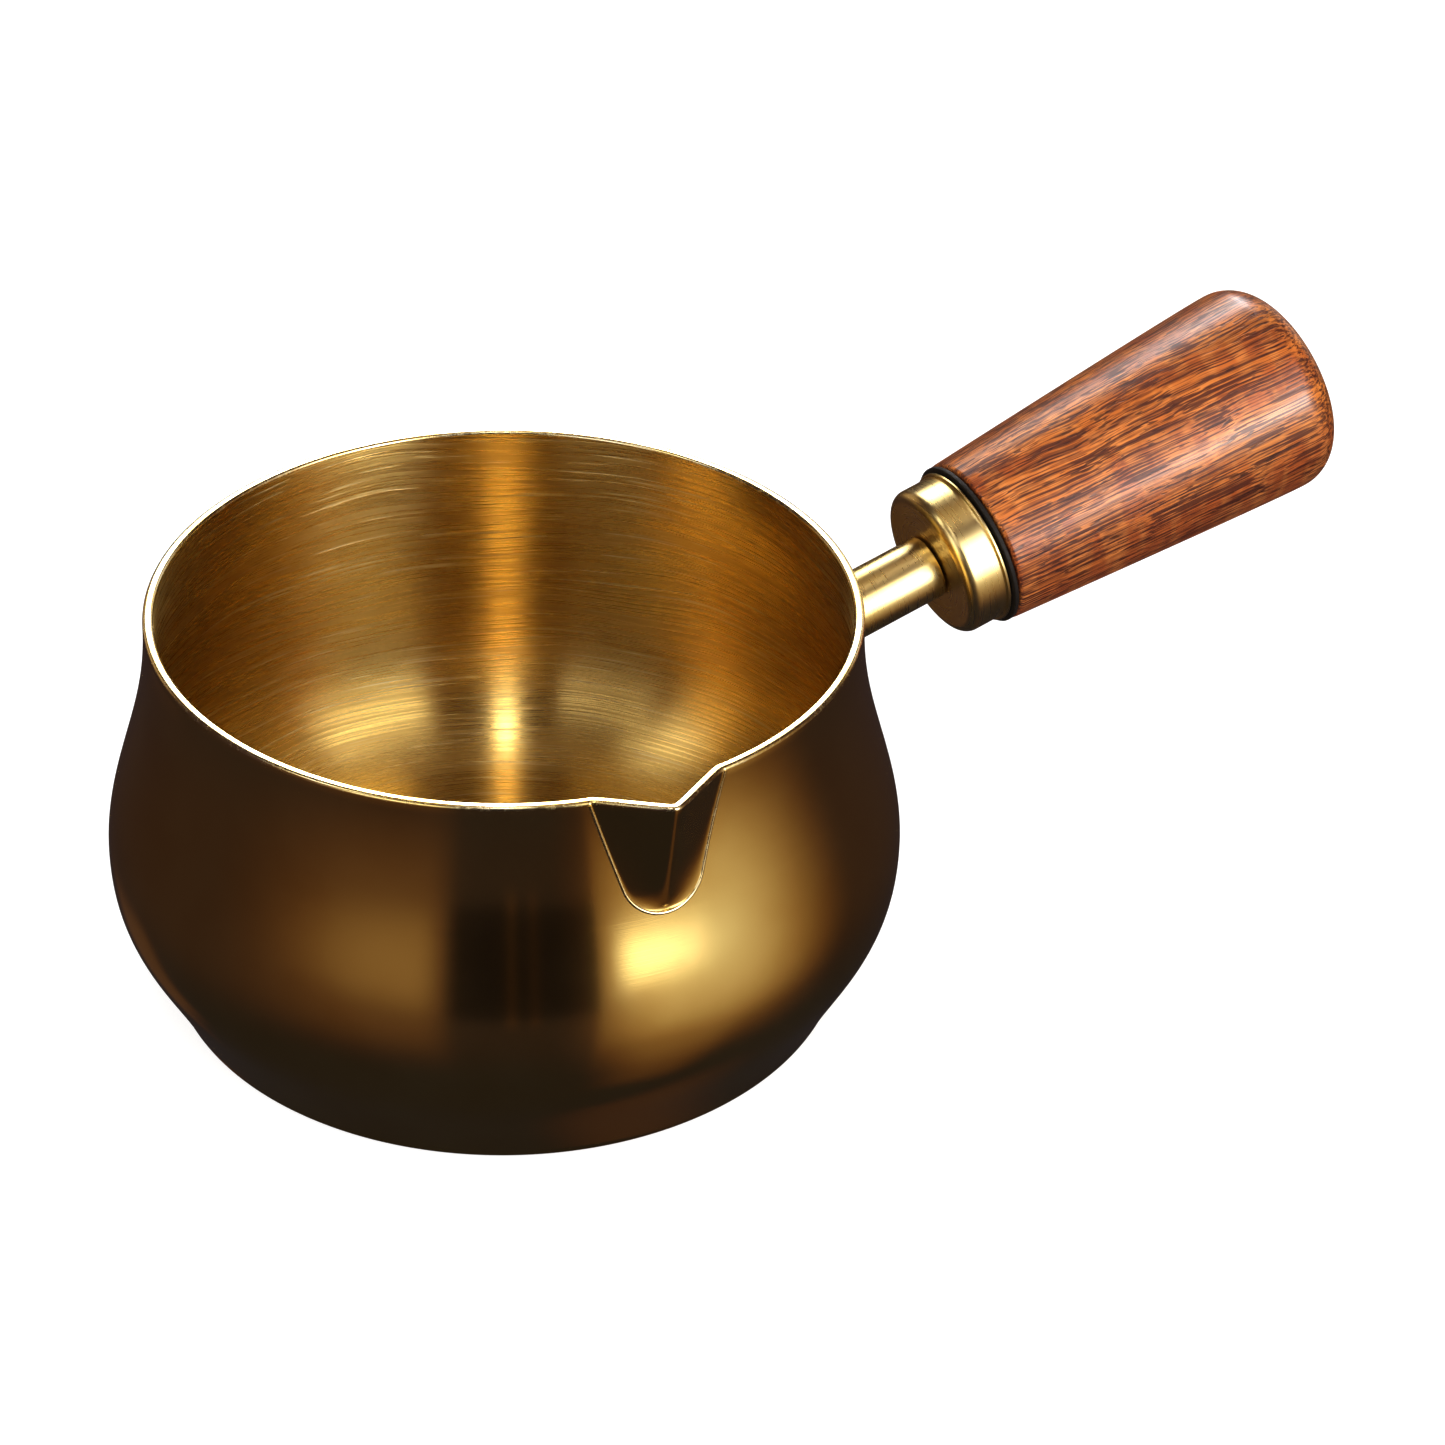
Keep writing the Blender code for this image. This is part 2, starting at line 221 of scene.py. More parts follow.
OUTSIDE = pot_outside(CURVE_POINTS)
INSIDE = shifted(OUTSIDE, -WALL)

# The notch's outline: a round bottom, and straight sides that are tangent to it.
NOTCH_CENTRE = Vector((0.0, POT_HEIGHT - SPOUT_DEPTH + SPOUT_BOTTOM_RADIUS))
NOTCH_CORNER = Vector((SPOUT_HALF_WIDTH, POT_HEIGHT)) - NOTCH_CENTRE
NOTCH_TANGENT = math.atan2(NOTCH_CORNER.y, NOTCH_CORNER.x) - math.acos(
    SPOUT_BOTTOM_RADIUS / NOTCH_CORNER.length
)


def notch_half_width(height, grow=0.0):
    """Half the width of the notch at a height, with its outline moved outwards by grow."""
    radius = SPOUT_BOTTOM_RADIUS + grow
    rise = height - NOTCH_CENTRE.y
    if rise <= -radius + TINY:
        return 0.0
    if rise <= radius * math.sin(NOTCH_TANGENT):
        return math.sqrt(radius**2 - rise**2)
    return (radius - rise * math.sin(NOTCH_TANGENT)) / math.cos(NOTCH_TANGENT)


def notch_levels(bottom):
    """Heights from just above the notch's bottom up to where the rim's edge rounds over."""
    radius = NOTCH_CENTRE.y - bottom
    tangent = NOTCH_CENTRE.y + radius * math.sin(NOTCH_TANGENT)
    top = POT_HEIGHT - RIM_EDGE
    turn = spread(NOTCH_FIRST_TURN, math.pi / 2 + NOTCH_TANGENT, NOTCH_BOTTOM_ROWS)
    round_part = [NOTCH_CENTRE.y - radius * math.cos(angle) for angle in turn]
    return round_part + spread(tangent, top, NOTCH_SIDE_ROWS)[1:]


def rim_path():
    """(depth into the wall, height) points over the rim, from its outside to its inside."""
    outer = arc((RIM_EDGE, POT_HEIGHT - RIM_EDGE), RIM_EDGE, 180, 90, EDGE_ROWS)
    inner = arc((WALL - RIM_EDGE, POT_HEIGHT - RIM_EDGE), RIM_EDGE, 90, 0, EDGE_ROWS)
    return outer[1:] + inner[:-1]


# ---------------------------------------------------------------- mesh helpers


def finish_mesh(name, bm, materials, sharp=35.0, matrix=None):
    """Turn a bmesh, moved by a matrix, into a shaded object; edges over sharp degrees stay crisp."""
    if matrix is not None:
        bm.transform(matrix)
    bmesh.ops.remove_doubles(bm, verts=bm.verts, dist=MERGE_DISTANCE)
    bmesh.ops.recalc_face_normals(bm, faces=bm.faces)
    mesh = bpy.data.meshes.new(name)
    bm.to_mesh(mesh)
    bm.free()
    mesh.shade_smooth()
    mesh.set_sharp_from_angle(angle=math.radians(sharp))
    for material in materials:
        mesh.materials.append(material)
    obj = bpy.data.objects.new(name, mesh)
    bpy.context.scene.collection.objects.link(obj)
    return obj


def place(obj, node):
    """Put a piece on the pan's one body, and hide the imported node whose place it takes."""
    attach(obj, "root")
    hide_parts(node)


def bridge(bm, first, second, index=0, closed=False):
    """Quads between two rows of vertices, with a material index."""
    count = len(first)
    for i in range(count if closed else count - 1):
        after = (i + 1) % count
        corners = (first[i], first[after], second[after], second[i])
        distinct = list(dict.fromkeys(corners))
        if len(distinct) > 2:
            bm.faces.new(distinct).material_index = index


def face_kind(first, second):
    """The kind of the faces between two points of a sheet's path: the edge's if either is on the edge."""
    return EDGE_FACE if EDGE_FACE in (first[2], second[2]) else first[2]


def close_edge(bm, loop):
    """Quads across a sheet's edge, whose vertices run up one side and down the other."""
    half = len(loop) // 2
    bridge(bm, loop[:half], list(reversed(loop))[:half], EDGE_FACE)
    if len(loop) % 2:
        bm.faces.new((loop[half - 1], loop[half], loop[half + 1])).material_index = EDGE_FACE


def turned(name, outline, columns, material, closed=False, twist=None):
    """A body turned about the handle's axis from (radius, distance) points; twist shifts a point's radius.

    An open outline starts and ends on the axis. A closed one makes a ring.
    """
    bm = bmesh.new()
    rows = []
    for radius, along in outline:
        if radius == 0.0:
            rows.append([bm.verts.new((0.0, 0.0, along))] * columns)
            continue
        row = []
        for i in range(columns):
            angle = math.tau * i / columns
            reach = radius + (twist(radius, along, angle) if twist else 0.0)
            row.append(bm.verts.new((reach * math.cos(angle), reach * math.sin(angle), along)))
        rows.append(row)
    pairs = list(zip(rows, rows[1:]))
    if closed:
        pairs.append((rows[-1], rows[0]))
    for first, second in pairs:
        bridge(bm, first, second, closed=True)
    return finish_mesh(name, bm, (material,), matrix=HANDLE_FRAME)


# ---------------------------------------------------------------- materials


BRASS_DEEP = (0.80, 0.585, 0.215, 1.0)
BRASS_BRIGHT = (0.88, 0.69, 0.29, 1.0)
BRASS_INSIDE_DEEP = (0.73, 0.525, 0.185, 1.0)
BRASS_INSIDE = (0.82, 0.625, 0.260, 1.0)
# Painted shade for the inside's fine brush lines.
BRASS_SHADE = (0.58, 0.38, 0.12, 1.0)
# Pale brass: the own colour of the edge and the insert, and a painted highlight in the inside's deep
# scratches.
BRASS_PALE = (0.95, 0.84, 0.56, 1.0)
BRASS_HANDLE = (0.90, 0.74, 0.40, 1.0)
WOOD_LIGHT = (0.50, 0.168, 0.028, 1.0)
WOOD_MID = (0.35, 0.088, 0.016, 1.0)
WOOD_DEEP = (0.060, 0.010, 0.005, 1.0)
# Painted shimmer of the wood's figure.
WOOD_SHIMMER_GOLD = (0.60, 0.25, 0.065, 1.0)
WOOD_PORE = (0.035, 0.008, 0.006, 1.0)
FIBRE_DARK = (0.008, 0.006, 0.005, 1.0)
FIBRE_PALE = (0.024, 0.018, 0.015, 1.0)
STEEL_DARK = (0.42, 0.42, 0.43, 1.0)
STEEL_PALE = (0.66, 0.66, 0.67, 1.0)
ACROSS_LINES = 0.25  # a quarter turn: light streaks across the lathe lines, as on brushed metal


class Graph:
    """Adds nodes to one shader tree. An input takes a value or another node's output."""

    def __init__(self, tree):
        self.tree = tree
        tree.nodes.clear()

    def add(self, kind, inputs=None, output=0, **settings):
        """A node of a kind, its settings and inputs; returns one of its outputs."""
        node = self.tree.nodes.new("ShaderNode" + kind)
        for key, value in settings.items():
            setattr(node, key, value)
        for key, value in (inputs or {}).items():
            if isinstance(value, bpy.types.NodeSocket):
                self.tree.links.new(value, node.inputs[key])
            else:
                node.inputs[key].default_value = value
        return node.outputs[output] if node.outputs else None

    def math(self, operation, *values):
        """A Math node on its values."""
        return self.add("Math", dict(enumerate(values)), operation=operation)

    def smooth(self, value, low, high, out_low=0.0, out_high=1.0):
        """A value taken smoothly from one range to another."""
        inputs = {"Value": value, 1: low, 2: high, 3: out_low, 4: out_high}
        return self.add("MapRange", inputs, interpolation_type="SMOOTHSTEP")

    def noise(self, vector, scale, detail=2.0, roughness=0.5):
        """A noise value about 0.5."""
        inputs = {"Vector": vector, "Scale": scale, "Detail": detail, "Roughness": roughness}
        return self.add("TexNoise", inputs)

    def vector(self, x, y, z):
        """Three values as one vector."""
        return self.add("CombineXYZ", {0: x, 1: y, 2: z})

    def blend(self, share, first, second):
        """Two colours mixed by a share."""
        inputs = {"Factor": share, 6: first, 7: second}
        return self.add("Mix", inputs, output=2, data_type="RGBA")

    def bump(self, height, strength, distance):
        """A surface normal from a height value."""
        inputs = {"Height": height, "Strength": strength, "Distance": distance}
        return self.add("Bump", inputs)


def new_material(name):
    """An empty node material and its graph."""
    material = bpy.data.materials.new(name)
    material.use_nodes = True
    return material, Graph(material.node_tree)


def principled(graph, inputs):
    """The surface shader, joined to the output."""
    shader = graph.add("BsdfPrincipled", inputs)
    graph.add("OutputMaterial", {"Surface": shader})


def pot_position(graph):
    """The position in the pan's frame."""
    return graph.add("TexCoord", output=3)


def handle_position(graph):
    """The position in the handle's frame, whose Z is the handle's axis."""
    inputs = {
        "Vector": pot_position(graph),
        "Location": HANDLE_FRAME.to_translation(),
        "Rotation": HANDLE_FRAME.to_euler(),
    }
    return graph.add("Mapping", inputs, vector_type="TEXTURE")


def tangent_round(graph, frame_matrix):
    """The direction round an axis: along the lathe lines of what is turned about it."""
    axis = (frame_matrix.to_3x3() @ Vector((0.0, 0.0, 1.0))).normalized()
    from_axis = graph.add(
        "VectorMath",
        {0: pot_position(graph), 1: frame_matrix.to_translation()},
        operation="SUBTRACT",
    )
    return graph.add("VectorMath", {0: axis, 1: from_axis}, operation="CROSS_PRODUCT")


def lathe_coordinates(graph, place_on):
    """A place on a turned surface: two values that turn round the axis, and one across the lathe lines."""
    x, y, z = graph.add("SeparateXYZ", {0: place_on}).node.outputs
    squares = graph.math("ADD", graph.math("MULTIPLY", x, x), graph.math("MULTIPLY", y, y))
    radius = graph.math("SQRT", squares)
    divisor = graph.math("MAXIMUM", radius, 0.001)
    across = graph.math("ADD", z, radius)
    return graph.math("DIVIDE", x, divisor), graph.math("DIVIDE", y, divisor), across


def lathe_lines(graph, turned_place, density, length, detail, roughness=0.5):
    """Noise in lines round an axis: density is lines per metre, length how soon a line ends."""
    turn_x, turn_y, across = turned_place
    lines = graph.vector(turn_x, turn_y, graph.math("MULTIPLY", across, density))
    return graph.noise(lines, length, detail, roughness)


def make_brass_outside():
    """Satin brass with a fine polish round the pot, slightly uneven in colour."""
    material, graph = new_material("brass_satin_outside")
    place_on = pot_position(graph)
    fine = lathe_lines(graph, lathe_coordinates(graph, place_on), density=9000.0, length=1.0, detail=2.0)
    cloud = graph.noise(place_on, 45.0, 3.0)
    colour = graph.blend(graph.smooth(cloud, 0.3, 0.7), BRASS_DEEP, BRASS_BRIGHT)
    cloud_roughness = graph.smooth(cloud, 0.3, 0.7, 0.115, 0.135)
    roughness = graph.math("ADD", cloud_roughness, graph.math("MULTIPLY", fine, 0.02))
    principled(
        graph,
        {
            "Base Color": colour,
            "Metallic": 1.0,
            "Roughness": roughness,
            "Anisotropic": 0.3,
            "Anisotropic Rotation": ACROSS_LINES,
            "Tangent": tangent_round(graph, Matrix.Identity(4)),
            "Normal": graph.bump(fine, 0.04, 0.00005),
        },
    )
    return material


def make_brass_inside():
    """Brass with the lathe's brush lines round the inside, darkened with painted shade, and scattered
    deeper scratches paled with a painted highlight.
    """
    material, graph = new_material("brass_brushed_inside")
    place_on = pot_position(graph)
    turn_x, turn_y, across = lathe_coordinates(graph, place_on)
    sway = graph.noise(place_on, 25.0, 1.0)
    bent = graph.math("ADD", across, graph.math("MULTIPLY", sway, 0.005))
    brushed = (turn_x, turn_y, bent)
    fine = lathe_lines(graph, brushed, density=1900.0, length=1.7, detail=3.0, roughness=0.6)
    coarse = lathe_lines(graph, brushed, density=700.0, length=2.0, detail=2.0, roughness=0.6)
    scratches = lathe_lines(graph, brushed, density=1000.0, length=2.6, detail=2.0, roughness=0.6)
    scratch_and_glint = graph.smooth(scratches, 0.60, 0.72)
    patches = graph.smooth(graph.noise(place_on, 32.0, 2.0), 0.36, 0.62, 0.35, 1.0)
    cloud = graph.noise(place_on, 40.0, 3.0)
    base = graph.blend(graph.smooth(cloud, 0.3, 0.7), BRASS_INSIDE_DEEP, BRASS_INSIDE)
    # The fine brush lines are darkened towards BRASS_SHADE: painted shade in the lathe's grooves.
    base = graph.blend(graph.smooth(fine, 0.44, 0.66, 0.0, 0.35), base, BRASS_SHADE)
    # Deep scratches are paled towards BRASS_PALE: real scratches with a painted highlight in them.
    colour = graph.blend(graph.math("MULTIPLY", scratch_and_glint, 0.45), base, BRASS_PALE)
    lines = graph.math("MULTIPLY_ADD", coarse, 0.8, fine)
    above_base = graph.add("SeparateXYZ", {0: place_on}).node.outputs[2]
    # The brush lines are shallower low in the pot.
    upper = graph.smooth(above_base, 0.018, 0.038, 0.22, 1.0)
    strong = graph.math("MULTIPLY", patches, upper)
    height = graph.math("MULTIPLY", graph.math("SUBTRACT", lines, scratch_and_glint), strong)
    fine_roughness = graph.smooth(fine, 0.35, 0.65, 0.24, 0.32)
    roughness = graph.math("ADD", fine_roughness, graph.math("MULTIPLY", scratch_and_glint, 0.08))
    principled(
        graph,
        {
            "Base Color": colour,
            "Metallic": 1.0,
            "Roughness": roughness,
            "Anisotropic": 1.0,
            "Anisotropic Rotation": ACROSS_LINES,
            "Tangent": tangent_round(graph, Matrix.Identity(4)),
            "Normal": graph.bump(height, 0.6, 0.00014),
        },
    )
    return material


def make_brass_edge():
    """The rim's bare cut edge, and the brazed seams: bright, with tiny nicks."""
    material, graph = new_material("brass_bright_edge")
    place_on = pot_position(graph)
    nicks = graph.noise(place_on, 900.0, 3.0, 0.6)
    cloud = graph.noise(place_on, 120.0, 2.0)
    principled(
        graph,
        {
            "Base Color": graph.blend(graph.smooth(cloud, 0.3, 0.7), BRASS_BRIGHT, BRASS_PALE),
            "Metallic": 1.0,
            "Roughness": graph.smooth(nicks, 0.3, 0.7, 0.16, 0.30),
            "Normal": graph.bump(nicks, 0.15, 0.00005),
        },
    )
    return material


def make_brass_handle():
    """Drawn and turned brass of stem and ferrule, with fine lines round the handle's axis."""
    material, graph = new_material("brass_handle")
    place_on = handle_position(graph)
    fine = lathe_lines(graph, lathe_coordinates(graph, place_on), density=3200.0, length=1.3, detail=2.0)
    cloud = graph.noise(place_on, 70.0, 2.0)
    principled(
        graph,
        {
            "Base Color": graph.blend(graph.smooth(cloud, 0.3, 0.7), BRASS_BRIGHT, BRASS_HANDLE),
            "Metallic": 1.0,
            "Roughness": graph.smooth(fine, 0.3, 0.7, 0.27, 0.31),
            "Anisotropic": 0.3,
            "Anisotropic Rotation": ACROSS_LINES,
            "Tangent": tangent_round(graph, HANDLE_FRAME),
            "Normal": graph.bump(fine, 0.01, 0.00002),
        },
    )
    return material


def make_fibre():
    """Matt black pressed fibre with a fine tooth."""
    material, graph = new_material("black_fibre")
    place_on = pot_position(graph)
    tooth = graph.noise(place_on, 2500.0, 3.0, 0.65)
    principled(
        graph,
        {
            "Base Color": graph.blend(tooth, FIBRE_DARK, FIBRE_PALE),
            "Roughness": graph.smooth(tooth, 0.3, 0.7, 0.5, 0.7),
            "Normal": graph.bump(tooth, 0.3, 0.0001),
        },
    )
    return material


def make_steel():
    """Zinc-plated steel of the hidden stud."""
    material, graph = new_material("stud_steel")
    place_on = pot_position(graph)
    cloud = graph.noise(place_on, 400.0, 3.0, 0.6)
    principled(
        graph,
        {
            "Base Color": graph.blend(cloud, STEEL_DARK, STEEL_PALE),
            "Metallic": 1.0,
            "Roughness": graph.smooth(cloud, 0.3, 0.7, 0.28, 0.42),
        },
    )
    return material


def make_insert_brass():
    """Plain machined brass of the hidden insert."""
    material, graph = new_material("insert_brass")
    place_on = pot_position(graph)
    cloud = graph.noise(place_on, 300.0, 3.0, 0.6)
    principled(
        graph,
        {
            "Base Color": graph.blend(cloud, BRASS_DEEP, BRASS_PALE),
            "Metallic": 1.0,
            "Roughness": graph.smooth(cloud, 0.3, 0.7, 0.25, 0.4),
        },
    )
    return material


def make_wood():
    """Thinly varnished red-brown hardwood: growth bands, dark streaks, painted shimmer across the grain and
    fine open pores.
    """
    material, graph = new_material("grip_wood")
    place_on = handle_position(graph)
    x, y, z = graph.add("SeparateXYZ", {0: place_on}).node.outputs
    wander = graph.noise(place_on, 60.0, 2.0)
    drift = graph.math("MULTIPLY", graph.math("SUBTRACT", wander, 0.5), 0.0022)
    # The growth layers lie nearly along the grip and lean a little across it.
    layer = graph.math("ADD", graph.math("ADD", y, drift), graph.math("MULTIPLY", z, 0.07))

    def grain(scale, length, detail, roughness):
        """Noise that runs along the grip: length is how much longer than wide its marks are."""
        along = graph.math("DIVIDE", z, length)
        return graph.noise(graph.vector(x, layer, along), scale, detail, roughness)

    broad = grain(130.0, 9.0, 2.0, 0.5)
    bands = grain(620.0, 30.0, 3.0, 0.6)
    streaks = grain(2800.0, 50.0, 2.0, 0.55)
    threads = grain(4200.0, 60.0, 1.0, 0.5)
    rows = grain(900.0, 14.0, 1.0, 0.5)
    pore_seed = grain(3000.0, 8.0, 1.0, 0.4)
    # Gold ripples across the grain: the wood's figure, with its shimmer painted into the colour as sheen.
    shimmer_ripple_place = graph.vector(graph.math("MULTIPLY", x, 0.5), y, graph.math("MULTIPLY", z, 2.2))
    shimmer_ripple = graph.noise(shimmer_ripple_place, 170.0, 2.0)
    # Pores lie in loose rows.
    pores = graph.math("MULTIPLY", graph.smooth(pore_seed, 0.56, 0.63), graph.smooth(rows, 0.42, 0.58))
    base = graph.blend(graph.smooth(broad, 0.38, 0.62), WOOD_MID, WOOD_LIGHT)
    base = graph.blend(graph.smooth(shimmer_ripple, 0.40, 0.66, 0.0, 0.45), base, WOOD_SHIMMER_GOLD)
    base = graph.blend(graph.smooth(bands, 0.46, 0.66, 0.0, 0.38), base, WOOD_DEEP)
    base = graph.blend(graph.smooth(threads, 0.46, 0.58, 0.0, 0.50), base, WOOD_DEEP)
    base = graph.blend(graph.smooth(streaks, 0.50, 0.57, 0.0, 0.86), base, WOOD_DEEP)
    colour = graph.blend(graph.math("MULTIPLY", pores, 0.75), base, WOOD_PORE)
    height = graph.math("SUBTRACT", graph.math("MULTIPLY", streaks, -0.5), pores)
    principled(
        graph,
        {
            "Base Color": colour,
            "Roughness": graph.smooth(streaks, 0.4, 0.65, 0.34, 0.50),
            "Specular IOR Level": 0.5,
            "Coat Weight": 0.35,
            "Coat Roughness": 0.22,
            "Normal": graph.bump(height, 0.35, 0.00006),
        },
    )
    return material



# ---------------------------------------------------------------- pieces


def make_pot(outside, inside, edge):
    """The spun bowl, with the notch for the beak cut right up to the beak's edge."""
    bottom = POT_HEIGHT - SPOUT_DEPTH - SEAM
    levels = notch_levels(bottom)
    corner_top = FLOOR + FLOOR_CORNER_HEIGHT
    wall_levels = spread(corner_top, bottom, WALL_ROWS) + levels
    wall_radius = radius_at(INSIDE, corner_top)
    step = 0.001
    rise = Vector((radius_at(INSIDE, corner_top + step) - wall_radius, step)).normalized()
    pull = FLOOR_CORNER_HEIGHT * 0.6
    corner = bezier(
        (FLOOR_RADIUS, FLOOR),
        (FLOOR_RADIUS + pull, FLOOR),
        (wall_radius - rise.x * pull, corner_top - rise.y * pull),
        (wall_radius, corner_top),
        CORNER_ROWS,
    )
    base_radius = radius_at(OUTSIDE, BASE_EDGE)
    path = [(radius, FLOOR, INSIDE_FACE) for radius in spread(0.0, FLOOR_RADIUS, FLOOR_ROWS)]
    path += [(radius, height, INSIDE_FACE) for radius, height in corner[1:-1]]
    path += [(radius_at(INSIDE, height), height, INSIDE_FACE) for height in wall_levels]
    path += [(RIM_RADIUS - depth, height, EDGE_FACE) for depth, height in reversed(rim_path())]
    lower_wall = list(reversed(wall_levels)) + spread(corner_top, BASE_EDGE, LOWER_WALL_ROWS)[1:-1]
    path += [(radius_at(OUTSIDE, height), height, OUTSIDE_FACE) for height in lower_wall]
    base_edge = arc((base_radius - BASE_EDGE, BASE_EDGE), BASE_EDGE, 0, -90, EDGE_ROWS)
    path += [(radius, height, OUTSIDE_FACE) for radius, height in base_edge]
    path += [(radius, 0.0, OUTSIDE_FACE) for radius in spread(base_radius - BASE_EDGE, 0.0, BASE_ROWS)[1:]]
    bm = bmesh.new()
    rows = []
    for radius, height, _ in path:
        if radius == 0.0:
            rows.append([bm.verts.new((0.0, 0.0, height))] * (POT_COLUMNS + 1))
            continue
        half = math.asin(min(notch_half_width(height, SEAM) / radius, 1.0))  # 0 below the notch
        row = []
        for i in range(POT_COLUMNS + 1):
            angle = SPOUT_ANGLE + half + (math.tau - 2 * half) * i / POT_COLUMNS
            row.append(bm.verts.new((radius * math.cos(angle), radius * math.sin(angle), height)))
        rows.append(row)
    for i, (first, second) in enumerate(zip(rows, rows[1:])):
        bridge(bm, first, second, face_kind(path[i], path[i + 1]))
    # The notch's two sides run from its bottom up the inside, over the rim and down the outside.
    cut = [i for i, point in enumerate(path) if point[1] > bottom + TINY]
    for column in (0, POT_COLUMNS):
        close_edge(bm, [row[column] for row in rows[cut[0] - 1 : cut[-1] + 2]])
    return finish_mesh("pot_shell", bm, (outside, inside, edge))


def beak_rise(across, half_width):
    """The beak's rise from its foot to its fold, 0 to 1: eased at the foot and rounded over the fold."""
    foot = min(SPOUT_FOOT, half_width * 0.12)
    fold = min(SPOUT_FOLD, half_width * 0.15)

    def climb(distance):
        eased = math.hypot(half_width - distance, foot) - foot
        return eased - (math.hypot(distance, fold) - distance)

    lowest = climb(half_width)
    return (climb(abs(across)) - lowest) / (climb(0.0) - lowest)


def beak_point(share, height, depth):
    """A point of the beak: share is -1 to 1 across it, depth is from its outside into the sheet."""
    half_width = notch_half_width(height)
    wall_radius = radius_at(OUTSIDE, height)
    foot = math.sqrt(wall_radius**2 - half_width**2)
    fold = RIM_RADIUS + SPOUT_REACH - (POT_HEIGHT - height) * math.tan(SPOUT_LEAN)
    fold = max(fold, wall_radius - SPOUT_TUCK)
    across = share * half_width
    step = half_width / 200
    rise = beak_rise(across, half_width)
    lean = (beak_rise(across + step, half_width) - beak_rise(across - step, half_width)) / (2 * step)
    thickness = depth * math.sqrt(1 + ((fold - foot) * lean) ** 2)
    return foot + (fold - foot) * rise - thickness, across, height


def make_beak(outside, inside, edge):
    """The folded sheet, joined edge to edge with its notch."""
    levels = notch_levels(POT_HEIGHT - SPOUT_DEPTH)
    path = [(0.0, height, OUTSIDE_FACE) for height in levels]
    path += [(depth, height, EDGE_FACE) for depth, height in rim_path()]
    path += [(WALL, height, INSIDE_FACE) for height in reversed(levels)]
    shares = [math.sin(value) for value in spread(-math.pi / 2, math.pi / 2, BEAK_COLUMNS + 1)]
    bm = bmesh.new()
    rows = []
    for depth, height, _ in path:
        points = [SPOUT_FRAME @ Vector(beak_point(share, height, depth)) for share in shares]
        rows.append([bm.verts.new(point) for point in points])
    for i, (first, second) in enumerate(zip(rows, rows[1:])):
        bridge(bm, first, second, face_kind(path[i], path[i + 1]))
    bridge(bm, rows[-1], rows[0], EDGE_FACE)
    for column in (0, BEAK_COLUMNS):
        close_edge(bm, [row[column] for row in rows])
    return finish_mesh("beak_sheet", bm, (outside, inside, edge))


def bead(name, points, radius, material, cyclic=False):
    """A thin rounded run of braze along points."""
    curve = bpy.data.curves.new(name, "CURVE")
    curve.dimensions = "3D"
    curve.bevel_depth = radius
    curve.bevel_resolution = 3
    curve.use_fill_caps = True
    spline = curve.splines.new("POLY")
    spline.points.add(len(points) - 1)
    for spline_point, point in zip(spline.points, points):
        spline_point.co = (*point, 1.0)
    spline.use_cyclic_u = cyclic
    guide = bpy.data.objects.new(name + "_guide", curve)
    bpy.context.scene.collection.objects.link(guide)
    graph = bpy.context.evaluated_depsgraph_get()
    mesh = bpy.data.meshes.new_from_object(guide.evaluated_get(graph))
    bpy.data.objects.remove(guide)
    bm = bmesh.new()
    bm.from_mesh(mesh)
    return finish_mesh(name, bm, (material,), sharp=60.0)


def make_beak_seam(material):
    """The brazed seam round the beak's edge, on the pot's outside."""
    levels = notch_levels(POT_HEIGHT - SPOUT_DEPTH)[1:]
    right = []
    for height in reversed(levels):
        half_width = notch_half_width(height)
        wall_radius = radius_at(OUTSIDE, height) - BEAD_SINK
        right.append(Vector((math.sqrt(wall_radius**2 - half_width**2), half_width, height)))
    left = [Vector((point.x, -point.y, point.z)) for point in reversed(right)]
    bottom_height = POT_HEIGHT - SPOUT_DEPTH
    bottom = Vector((radius_at(OUTSIDE, bottom_height) - BEAD_SINK, 0.0, bottom_height))
    points = [SPOUT_FRAME @ point for point in right + [bottom] + left]
    return bead("beak_seam", points, BEAD_RADIUS, material)


def stem_start(angle, radius, gap):
    """The distance along the handle's axis at which a line on the stem meets the pot's outside."""
    low, high = RIM_RADIUS / 2, STEM_END
    for _ in range(40):
        middle = (low + high) / 2
        point = HANDLE_FRAME @ Vector((radius * math.cos(angle), radius * math.sin(angle), middle))
        if math.hypot(point.x, point.y) < radius_at(OUTSIDE, point.z) + gap:
            low = middle
        else:
            high = middle
    return high


def make_stem(material):
    """The rod between wall and ferrule, its root shaped to the wall and its end tapped for the stud."""
    bore = STUD_RADIUS + GAP
    bore_bottom = STEM_END - STUD_IN_STEM - GAP
    bm = bmesh.new()
    angles = [math.tau * i / HANDLE_COLUMNS for i in range(HANDLE_COLUMNS)]
    starts = [stem_start(angle, STEM_RADIUS, SEAM) for angle in angles]

    def ring(radius, alongs):
        """A row of vertices at one radius, each at its own distance along the axis."""
        return [
            bm.verts.new((radius * math.cos(angle), radius * math.sin(angle), along))
            for angle, along in zip(angles, alongs)
        ]

    def level(along):
        """The same distance for every angle."""
        return [along] * HANDLE_COLUMNS

    root_middle = sum(starts) / HANDLE_COLUMNS
    rows = [[bm.verts.new((0.0, 0.0, root_middle))] * HANDLE_COLUMNS]
    for share in (0.5, 1.0):
        inner = STEM_RADIUS * share
        rows.append(ring(inner, [stem_start(angle, inner, SEAM) for angle in angles]))
    straight_end = STEM_END - STEM_EDGE
    for share in spread(0.0, 1.0, STEM_ROWS)[1:]:
        rows.append(ring(STEM_RADIUS, [start + (straight_end - start) * share for start in starts]))
    for radius, along in arc((STEM_RADIUS - STEM_EDGE, straight_end), STEM_EDGE, 0, 90, 5)[1:]:
        rows.append(ring(radius, level(along)))
    rows.append(ring(bore, level(STEM_END)))
    rows.append(ring(bore, level(bore_bottom)))
    rows.append([bm.verts.new((0.0, 0.0, bore_bottom))] * HANDLE_COLUMNS)
    for first, second in zip(rows, rows[1:]):
        bridge(bm, first, second, closed=True)
    return finish_mesh("stem_rod", bm, (material,), matrix=HANDLE_FRAME)


